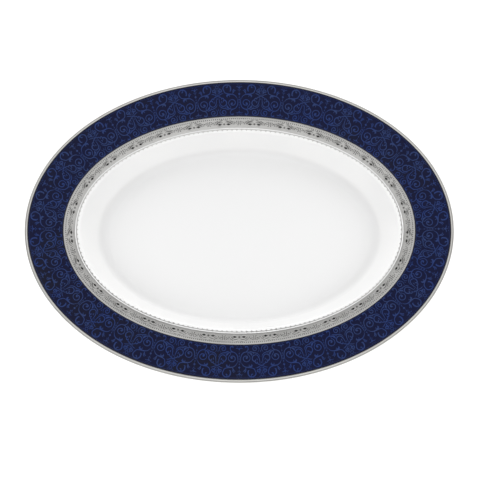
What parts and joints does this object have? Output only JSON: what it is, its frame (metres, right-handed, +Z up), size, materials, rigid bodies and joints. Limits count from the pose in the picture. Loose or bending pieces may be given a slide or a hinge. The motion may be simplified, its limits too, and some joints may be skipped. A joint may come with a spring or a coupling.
{
  "type": "serving platter",
  "caption": "Oval glazed porcelain serving platter with a wide cobalt rim, tone-on-tone scrolls, platinum bands, a deep plain well and a raised foot ring.",
  "frame": {"origin": "on the table surface under the middle of the platter, which lies on its foot ring", "axes": "+X along the long axis of the oval, +Y across it, +Z up out of the well"},
  "size_m": [0.406, 0.297, 0.034],
  "materials": {
    "bisque": "fine unglazed porcelain, ground smooth on the foot",
    "clear_glaze": "clear gloss glaze over white porcelain",
    "cobalt_ground": "deep cobalt ground, glossy",
    "keyline_enamel": "near-black navy enamel line",
    "scroll_enamel": "lighter cobalt enamel scrolls, slightly raised",
    "platinum": "fired platinum, satin bright",
    "platinum_relief": "fired platinum over relief paste, satin bright"
  },
  "bodies": {
    "root": {"porcelain_body": "bisque", "face_glaze": "clear_glaze", "underside_glaze": "clear_glaze", "base_glaze": "clear_glaze", "edge_line": "platinum", "outer_keyline": "keyline_enamel", "cobalt_band": "cobalt_ground", "inner_keyline": "keyline_enamel", "scroll_print": "scroll_enamel", "platinum_band": "platinum", "bead_row": "platinum_relief", "band_tracery": "platinum_relief", "picot_line": "platinum"}
  },
  "joints": []
}
